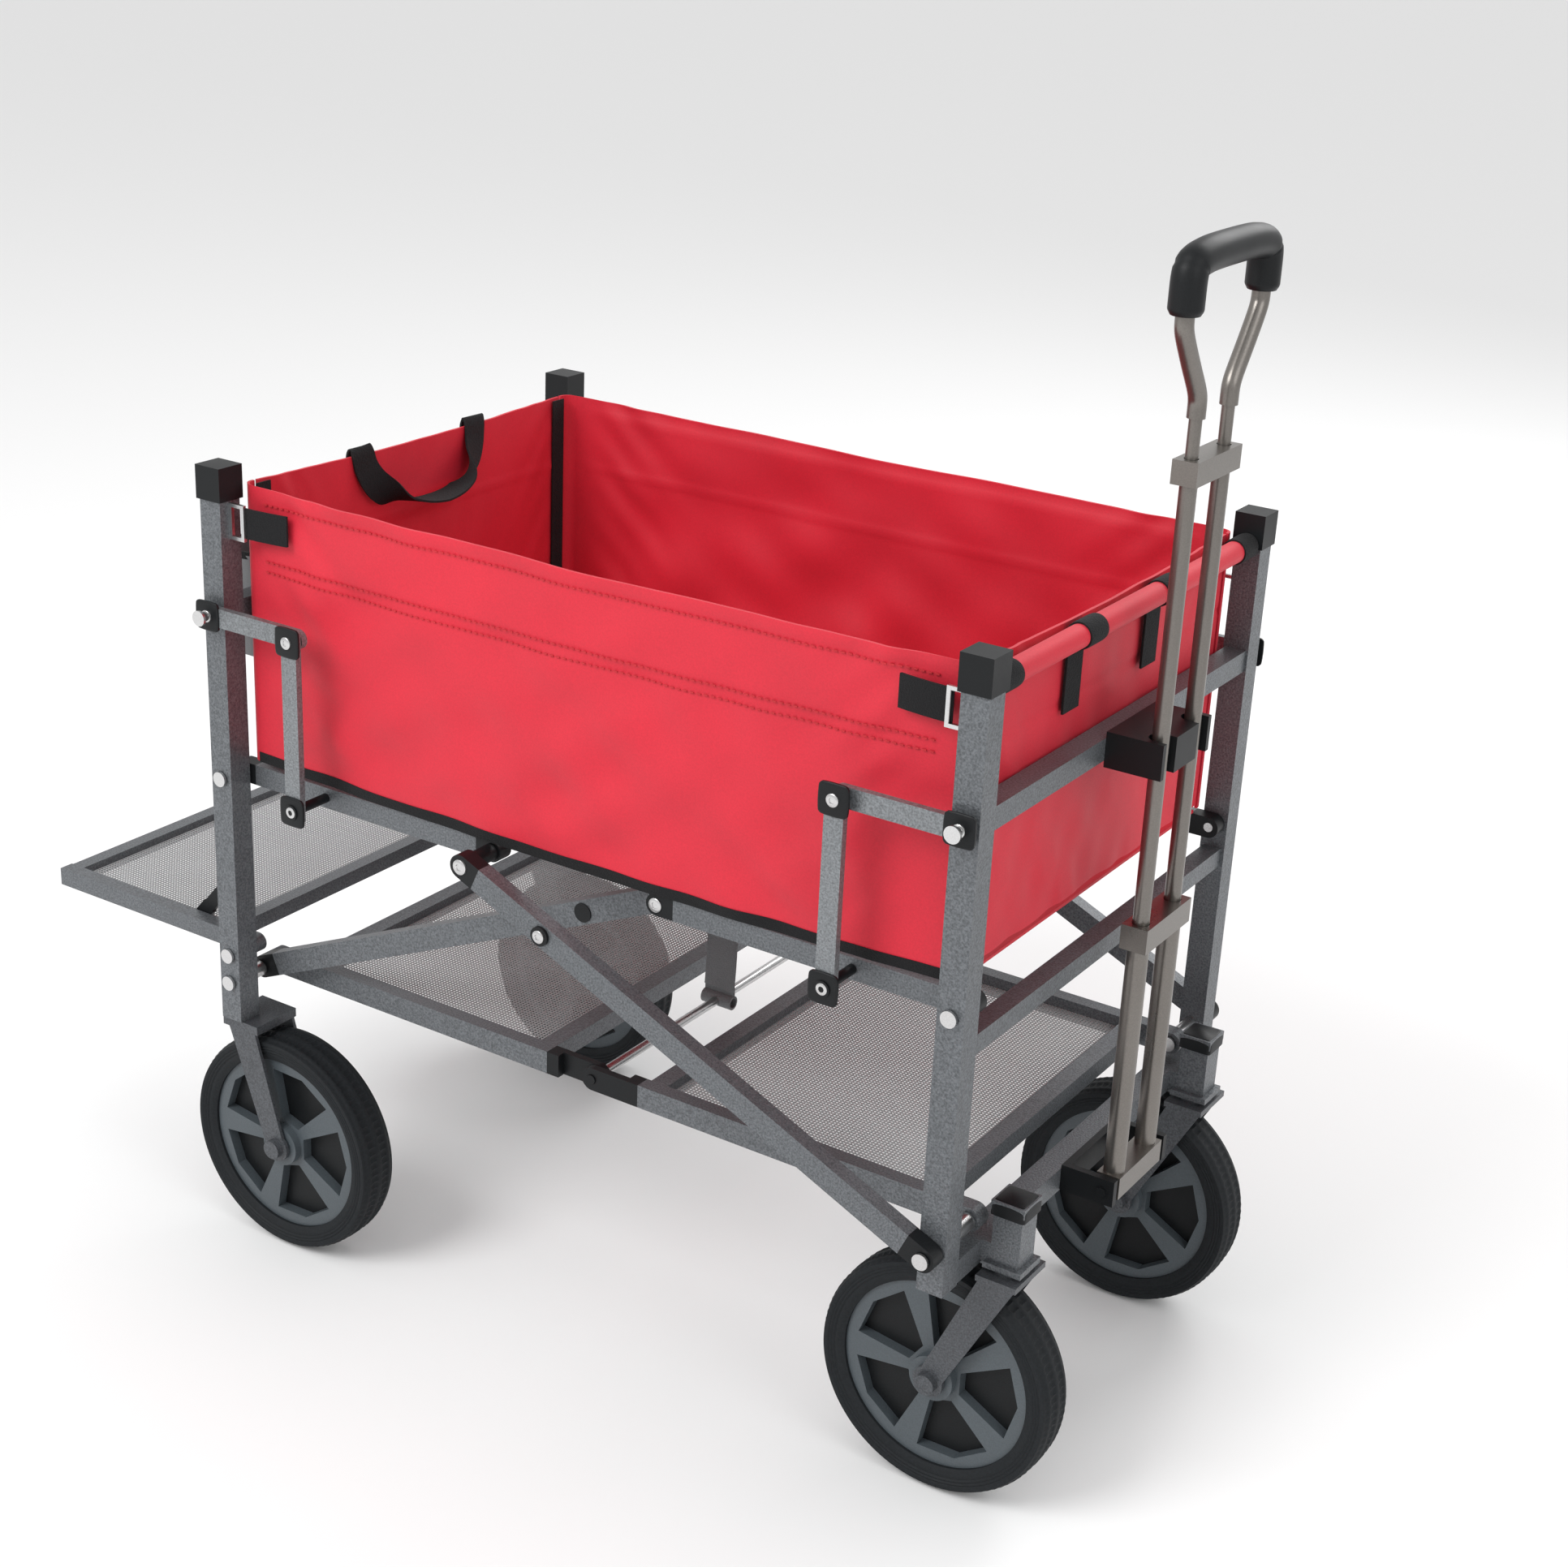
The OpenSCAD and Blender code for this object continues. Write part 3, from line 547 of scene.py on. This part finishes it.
# webbing tabs, carry handle, lift strap
for side, body, sign in (("rear", "rear_frame", 1), ("front", "front_frame", -1)):
    lo, hi = boxOf(side + "_tabs")
    rlo, rhi = boxOf(side + "_rings")
    parts = []
    near = rhi[0] - 0.004 if sign > 0 else rlo[0] + 0.004
    far = hi[0] if sign > 0 else lo[0]
    t = np.linspace(0, 1, 24)
    for s in (-1, 1):
        x = near + (far - near) * t
        y = s * (hi[1] - 0.003 - 0.004 * t ** 2)
        z = np.full_like(t, (lo[2] + hi[2]) / 2)
        profile = np.array([[-0.0011, -0.0125], [0.0011, -0.0125], [0.0011, 0.0125], [-0.0011, 0.0125]])
        parts.append(sweep(np.stack([x, y, z], -1), profile, (0, 0, 1)))
    obj = make(side + "_webbing_tabs", merge(*parts), "blackWebbing", body)
    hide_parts(side + "_tabs")

# carry handle: over the rear rim and down into the basket, turning edge-on in the middle
carry = {"wide": 0.026, "thick": 0.0018, "half": 0.074, "smooth": 14}
lo, hi = boxOf("carry_handle")
rimZ = boxOf("rear_end_panel")[1][2]
outX, inX = lo[0] - 0.0002, hi[0] + 0.0044
halfKeys = np.array([
    [outX, -1.0, -0.040], [outX, -1.0, -0.016], [outX, -1.0, -0.002], [(outX + inX) / 2, -1.0, 0.0045],
    [inX, -0.99, -0.002], [inX + 0.001, -0.97, -0.014], [inX + 0.006, -0.87, -0.030],
    [inX + 0.013, -0.66, -0.043], [inX + 0.019, -0.34, -0.050], [inX + 0.021, 0.0, -0.052]])
keys = np.concatenate([halfKeys, halfKeys[-2::-1] * [1, -1, 1]])
q = np.linspace(0, len(keys) - 1, 150)
line = np.stack([np.interp(q, np.arange(len(keys)), keys[:, i]) for i in range(3)], -1)
for i in range(carry["smooth"]):
    line[1:-1] = (line[:-2] + 2 * line[1:-1] + line[2:]) / 4
path = line * [1, carry["half"], 1] + [0, 0, rimZ]
# the strap's width turns from along Y at the ends to along X in the middle
turned = np.clip((1.0 - np.abs(line[:, 1])) / 0.5, 0, 1) * 1.1
inside = (path[:, 0] > inX - 0.002) * turned
across = np.stack([np.sin(inside), -np.sign(line[:, 1] + 1e-9) * np.cos(inside), 0 * inside], -1)
made = ribbon(path, across, carry["wide"], carry["thick"])
carryPiece = make("carry_handle_webbing", made, "blackWebbing", "rear_frame")
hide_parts("carry_handle")

# lift strap: straight up from the deck to the floor, with a slight bow
lift = {"wide": 0.030, "thick": 0.002, "bow": 0.0015, "loopThick": 0.0018}
lo, hi = boxOf("lift_strap")
t = np.linspace(0, 1, 30)
strapX = np.full_like(t, (lo[0] + hi[0]) / 2) + lift["bow"] * np.sin(np.pi * t * 2)
path = np.stack([strapX, np.zeros_like(t), lo[2] + (hi[2] - lo[2]) * t], -1)
made = ribbon(path, (1, 0, 0), lift["wide"], lift["thick"])
strap = make("lift_strap_webbing", made, "greyWebbing", "strap")
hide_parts("lift_strap")
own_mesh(strap)
print("webbing made")

# cup pocket: soft open bag with a bound mouth
lo, hi = boxOf("cup_pocket")
c = (lo + hi) / 2
half = (hi - lo) / 2
v = np.linspace(0, 1, 30)[:, None]
t = np.linspace(0, 2 * np.pi, 72, endpoint=False)[None, :]
squareness = 0.45  # power on cosine and sine: 1 is round, towards 0 is square
cx = np.sign(np.cos(t)) * np.abs(np.cos(t)) ** squareness
sy = np.sign(np.sin(t)) * np.abs(np.sin(t)) ** squareness
narrow = np.minimum(1, 0.80 + 0.2 * v ** 0.5) * np.clip(v / 0.06, 0, 1) ** 0.35
wobble = 1 + 0.012 * np.sin(5 * t + 7 * v)
px = c[0] + half[0] * 0.97 * cx * narrow * wobble
py = c[1] + half[1] * 0.97 * sy * narrow * wobble
pz = lo[2] + (hi[2] - lo[2] - 0.003) * v + 0 * t
outer = np.stack([px, py, pz], -1)
innerX, innerY = c[0] + (px - c[0]) * 0.95, c[1] + (py - c[1]) * 0.96
inner = np.stack([innerX, innerY, np.maximum(pz, lo[2] + 0.0015)], -1)[::-1]
points = np.concatenate([outer, inner])
made = (points.reshape(-1, 3), gridFaces(60, 72, wrapCols=True))
pocket = make("cup_pocket_bag", made, "darkMesh", "rear_frame")
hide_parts("cup_pocket")
mouthX, mouthY = c[0] + half[0] * 0.975 * cx[0], c[1] + half[1] * 0.975 * sy[0]
mouth = np.stack([mouthX, mouthY, np.full(72, hi[2] - 0.006)], -1)
mouth2 = mouth + np.array([0, 0, 0.006])
band = np.stack([mouth, mouth2, c + (mouth2 - c) * [0.93, 0.95, 1], c + (mouth - c) * [0.93, 0.95, 1]])
made = (band.reshape(-1, 3), gridFaces(4, 72, wrapRows=True, wrapCols=True))
make("cup_pocket_binding", made, "blackWebbing", "rear_frame")
print("cup pocket made")

# handle loop: two stems that flare into a wide loop, with a grip sleeve over its top
lo, hi = boxOf("handle_loop")
loopX = (lo[0] + hi[0]) / 2
grip = {"stemR": 0.0048, "loopR": 0.0068, "sleeveR": 0.0128, "gap": 0.028, "sleeveDrop": 0.052}


def roundPath(keys, rounds, count):
    # straight runs between key points, smoothed by repeated averaging of close samples
    q = np.linspace(0, len(keys) - 1, count)
    line = np.stack([np.interp(q, np.arange(len(keys)), keys[:, i]) for i in range(keys.shape[1])], -1)
    for i in range(rounds):
        line[1:-1] = (line[:-2] + 2 * line[1:-1] + line[2:]) / 4
    return line


topZ = hi[2] - grip["sleeveR"] - 0.0004
wideY = hi[1] - grip["sleeveR"] - 0.0004
stems = []
for s in (-1, 1):
    z = np.linspace(lo[2], hi[2] - 0.112, 10)
    stem = np.stack([np.full_like(z, loopX), np.full_like(z, s * grip["gap"]), z], -1)
    stems.append(sweep(stem, ringProfile(grip["stemR"], 20), (1, 0, 0)))
# one side's key points from the stem up to the grip, then the same turned over for the other side
gap = grip["gap"]
leftKeys = np.array([
    [-gap, hi[2] - 0.128], [-gap, hi[2] - 0.112], [-(wideY + gap) / 2, hi[2] - 0.088],
    [-wideY, hi[2] - 0.062], [-wideY, hi[2] - 0.048], [-wideY, topZ - 0.004], [-wideY * 0.55, topZ]])
keys = np.concatenate([leftKeys, leftKeys[::-1] * [-1, 1]])
line = roundPath(keys, 40, 240)
loopPath = np.stack([np.full(len(line), loopX), line[:, 0], line[:, 1]], -1)
stems.append(sweep(loopPath, ringProfile(grip["loopR"], 24), (1, 0, 0)))
loopPiece = make("handle_loop_tube", merge(*stems), "handleTube", "handle_top")
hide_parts("handle_loop")
sleeve = loopPath[loopPath[:, 2] > hi[2] - grip["sleeveDrop"]]
t = np.linspace(-1, 1, len(sleeve))
taper = 0.16 * np.clip((np.abs(t) - 0.93) / 0.07, 0, 1)
seamRing = 0.0006 * (np.abs(np.abs(t) - 0.55) < 0.015)
swell = grip["sleeveR"] * (1 - taper) - seamRing
profile = swell[:, None, None] * ringProfile(0.985, 28)[None]
made = sweep(sleeve, profile, (1, 0, 0))
make("handle_loop_grip", made, "blackPlastic", "handle_top")
print("handle loop made")

# moulded joint covers with a screw in each: rounded plates over the arms' and links' pivots


def stacked(outline, rows, cols):
    # faces between stacked rings of points, with both ends closed
    faces = gridFaces(rows, cols, wrapCols=True).tolist()
    last = (rows - 1) * cols
    return outline.reshape(-1, 3), faces + [list(range(cols)), [last + i for i in range(cols)]]


def roundedPlate(centre, half, corner, y0, y1):
    # a rounded square carried along Y, its outer edge eased over
    t = np.linspace(0, 2 * np.pi, 40, endpoint=False)
    px = np.clip(half * 1.5 * np.cos(t), -half + corner, half - corner) + corner * np.cos(t)
    pz = np.clip(half * 1.5 * np.sin(t), -half + corner, half - corner) + corner * np.sin(t)
    sizes = np.array([1.0, 1.0, 0.96, 0.88])
    depths = y0 + (y1 - y0) * np.array([0.0, 0.75, 0.93, 1.0])
    rings = [
        np.stack([centre[0] + px * k, np.full(40, d), centre[1] + pz * k], -1)
        for k, d in zip(sizes, depths)]
    return stacked(np.stack(rings), 4, 40)


def screwHead(centre, y0, y1, r=0.0052):
    # a domed head with a dip in its middle: rings of shrinking radius along Y
    t = np.linspace(0, 2 * np.pi, 20, endpoint=False)
    x, z = r * np.cos(t), r * np.sin(t)
    share = np.array([1.0, 0.97, 0.8, 0.45, 0.4])
    depth = y0 + (y1 - y0) * np.array([0.0, 0.6, 0.95, 1.0, 0.55])
    rings = [
        np.stack([centre[0] + k * x, np.full(20, d), centre[1] + k * z], -1)
        for k, d in zip(share, depth)]
    return stacked(np.stack(rings), 5, 20)


joint = {
    "half": 0.0125, "round": 0.005, "cover": 0.0022, "screw": 0.0016, "pinPast": 0.0106, "linkEnd": 0.008,
}
for tag in ("rear", "front"):
    alo, ahi = boxOf("arms_" + tag)
    llo, lhi = boxOf("links_" + tag)
    legX = rearX if tag == "rear" else frontX
    elbowX = (llo[0] + lhi[0]) / 2
    armZ = (alo[2] + ahi[2]) / 2
    covers, screws = {"arms": [], "links": []}, {"arms": [], "links": []}
    for s in (-1, 1):
        # the arms' outer face is inside their own pins' ends
        faces = {"arms": ahi[1] - joint["pinPast"], "links": lhi[1]}
        spots = {"arms": [(legX, armZ)], "links": [(elbowX, armZ), (elbowX, llo[2] + joint["linkEnd"])]}
        for owner, y in faces.items():
            y1 = y + joint["cover"]
            for spot in spots[owner]:
                covers[owner].append(roundedPlate(spot, joint["half"], joint["round"], s * y, s * y1))
                screws[owner].append(screwHead(spot, s * y1, s * (y1 + joint["screw"])))
    for owner in ("arms", "links"):
        body = owner + "_" + tag + "_body"
        make(owner + "_" + tag + "_covers", merge(*covers[owner]), "blackPlastic", body)
        make(owner + "_" + tag + "_screws", merge(*screws[owner]), "zinc", body)
print("joint covers made")

# rivets, spacers and screws where the braces and base rails meet, and the rod through the deck hinges
fixing = {
    "deep": 0.0135, "head": 0.0018, "boss": 0.0025, "spacerR": 0.007, "braceR": 0.010, "baseR": 0.009,
    "rodR": 0.004, "topHeadR": 0.0065, "midHeadR": 0.0055, "baseHeadR": 0.006,
}
blo, bhi = boxOf("brace_front_joints")
outFace = boxOf("brace_front_tubes")[1][1]
topX, tipZ = blo[0] + fixing["braceR"], bhi[2] - fixing["braceR"]
footZ = blo[2] + fixing["braceR"]
rivetZ = footZ + (tipZ - footZ) * (frontX - midX) / (frontX - topX)
heads, spacers = [], []
for s in (-1, 1):
    heads.append(screwHead((topX, tipZ), s * outFace, s * (outFace + fixing["head"]), fixing["topHeadR"]))
    bossY = outFace + fixing["boss"]
    heads.append(screwHead((midX, rivetZ), s * bossY, s * (bossY + fixing["head"]), fixing["midHeadR"]))
    railFace = boxOf("base_rear_frame")[1][1]
    path = np.array([[topX, s * (railFace + 0.0008), tipZ], [topX, s * (outFace - fixing["deep"]), tipZ]])
    spacers.append(sweep(path, ringProfile(fixing["spacerR"], 28), (0, 0, 1)))
make("brace_front_rivets", merge(*heads), "zinc", "braces_front")
make("brace_front_spacers", merge(*spacers), "blackPlastic", "braces_front")
for tag in ("rear", "front"):
    jlo, jhi = boxOf("base_" + tag + "_joints")
    railFace = boxOf("base_" + tag + "_frame")[1][1]
    endX = jhi[0] - fixing["baseR"] if tag == "rear" else jlo[0] + fixing["baseR"]
    endZ = (jlo[2] + jhi[2]) / 2
    headY = railFace + fixing["head"]
    heads = [screwHead((endX, endZ), s * railFace, s * headY, fixing["baseHeadR"]) for s in (-1, 1)]
    make("base_" + tag + "_screws", merge(*heads), "zinc", "base_" + tag)
hlo, hhi = boxOf("deck_rear_frame")
rodY = hhi[1] - 0.0002
rodZ = (hlo[2] + hhi[2]) / 2
rod = sweep([[midX, -rodY, rodZ], [midX, rodY, rodZ]], ringProfile(fixing["rodR"], 20), (0, 0, 1))
make("deck_hinge_rod", rod, "zinc", "deck_rear")
strapLow = boxOf("lift_strap")[0][2]
t = np.linspace(-np.pi * 0.5, np.pi * 1.5, 40)
loopR = fixing["rodR"] + 0.0014
loopPath = np.stack([np.full(40, midX), loopR * np.cos(t), rodZ + loopR * np.sin(t)], -1)
tail = np.stack([np.full(8, midX), np.full(8, 0.0012), np.linspace(rodZ + loopR, strapLow + 0.004, 8)], -1)
made = merge(*[ribbon(run, (1, 0, 0), lift["wide"], lift["loopThick"]) for run in (loopPath, tail)])
make("lift_strap_loop", made, "greyWebbing", "strap")
print("brace and base fixings made")

# caps on the caster posts
post = {"behind": 0.016, "flat": 0.0115, "round": 0.003, "high": 0.0125, "under": 0.012}
postHi = boxOf("caster_posts")[1]
blocks = []
for side in ("right", "left"):
    clo, chi = boxOf("caster_" + side)
    y = (clo[1] + chi[1]) / 2
    x = postHi[0] - post["behind"]
    u = np.array([0, 0.6, 0.9, 1.0])[:, None]
    t = np.linspace(0, 2 * np.pi, 40, endpoint=False)[None]
    r = np.array([1.0, 1.0, 0.95, 0.82])[:, None]
    capX = np.clip(0.03 * np.cos(t), -post["flat"], post["flat"]) + post["round"] * np.cos(t)
    capY = np.clip(0.03 * np.sin(t), -post["flat"], post["flat"]) + post["round"] * np.sin(t)
    points = np.stack([x + capX * r, y + capY * r, postHi[2] - post["under"] + post["high"] * u + 0 * t], -1)
    blocks.append(stacked(points, 4, 40))
make("caster_post_caps", merge(*blocks), "blackPlastic", "front_frame")

# cloth cuffs and straps round the front rail
blo, bhi = boxOf("front_top_bar")
barZ, barX, barR = (blo[2] + bhi[2]) / 2, (blo[0] + bhi[0]) / 2, (bhi[2] - blo[2]) / 2
cuffs = []
# corners of a flat strap's section
strapSection = np.array([[-0.0125, -0.0009], [0.0125, -0.0009], [0.0125, 0.0009], [-0.0125, 0.0009]])
endCuffs = ((blo[1] + 0.001, blo[1] + 0.026), (bhi[1] - 0.026, bhi[1] - 0.001))
for y0, y1 in endCuffs + ((-0.085, -0.058), (0.045, 0.072)):
    yy = np.linspace(y0, y1, 8)
    edge = 1 - 0.25 * (np.abs(np.linspace(-1, 1, 8)) ** 6)
    profile = ((barR + 0.0003) + 0.0014 * edge)[:, None, None] * ringProfile(1.0, 40)[None]
    cuffs.append(sweep(np.stack([np.full(8, barX), yy, np.full(8, barZ)], -1), profile, (0, 0, 1)))
for y in (-0.0715, 0.0585):
    z = np.linspace(barZ - barR * 0.6, barZ - 0.062, 16)
    path = np.stack([np.full(16, barX - barR * 0.9 - 0.0005), np.full(16, y), z], -1)
    cuffs.append(sweep(path, strapSection, (1, 0, 0)))
make("front_rail_cuffs", merge(*cuffs), "blackWebbing", "front_frame")
print("front rail cuffs made")

# floor, lights, camera
floorMesh = bpy.data.meshes.new("studioFloor")
side = 40.0
corners = [(-side, -side, 0), (side, -side, 0), (side, side, 0), (-side, side, 0)]
floorMesh.from_pydata(corners, [], [(0, 1, 2, 3)])
mat, tree, shader, coords = newMaterial("paleFloor")
shader.inputs["Base Color"].default_value = (0.86, 0.86, 0.86, 1)
shader.inputs["Roughness"].default_value = 0.9
floorMesh.materials.append(mat)
floorObj = bpy.data.objects.new("studioFloor", floorMesh)
bpy.context.scene.collection.objects.link(floorObj)

world = bpy.data.worlds.new("studio")
bpy.context.scene.world = world
world.use_nodes = True
world.node_tree.nodes["Background"].inputs["Color"].default_value = (1, 1, 1, 1)
world.node_tree.nodes["Background"].inputs["Strength"].default_value = 0.86


def softLight(name, place, target, power, size):
    data = bpy.data.lights.new(name, "AREA")
    data.energy = power
    data.shape = "DISK"
    data.size = size
    obj = bpy.data.objects.new(name, data)
    obj.location = place
    obj.rotation_euler = (Vector(target) - Vector(place)).to_track_quat("-Z", "Y").to_euler()
    bpy.context.scene.collection.objects.link(obj)


softLight("keyLight", (-1.0, -3.0, 3.2), (0, 0, 0.4), 95, 2.2)
softLight("frontLight", (3.0, -1.0, 2.2), (0, 0, 0.4), 18, 2.0)
softLight("backLight", (0.5, 3.0, 2.6), (0, 0, 0.4), 40, 2.0)

# camera: degrees, millimetres of lens, and metres; right, up and z place the point it looks at
view = {
    "azimuth": 32.1, "elevation": 22.0, "distance": 2.087, "lens": 57.1, "roll": 2.76,
    "right": 0.0475, "up": 0.004, "z": 0.45,
}
a, e = math.radians(view["azimuth"]), math.radians(view["elevation"])
back = Vector((math.sin(a) * math.cos(e), -math.cos(a) * math.cos(e), math.sin(e)))
camData = bpy.data.cameras.new("camera")
camData.lens = view["lens"]
camera = bpy.data.objects.new("camera", camData)
rightWay = Vector((math.cos(a), math.sin(a), 0))
aim = Vector((midX, 0, view["z"])) + rightWay * view["right"] + back.cross(rightWay) * view["up"]
camera.location = aim + back * view["distance"]
turn = (-back).to_track_quat("-Z", "Y") @ Matrix.Rotation(math.radians(view["roll"]), 3, "Z").to_quaternion()
camera.rotation_euler = turn.to_euler()
bpy.context.scene.collection.objects.link(camera)
bpy.context.scene.camera = camera
bpy.context.scene.view_settings.view_transform = "Standard"
print("stage and camera made")
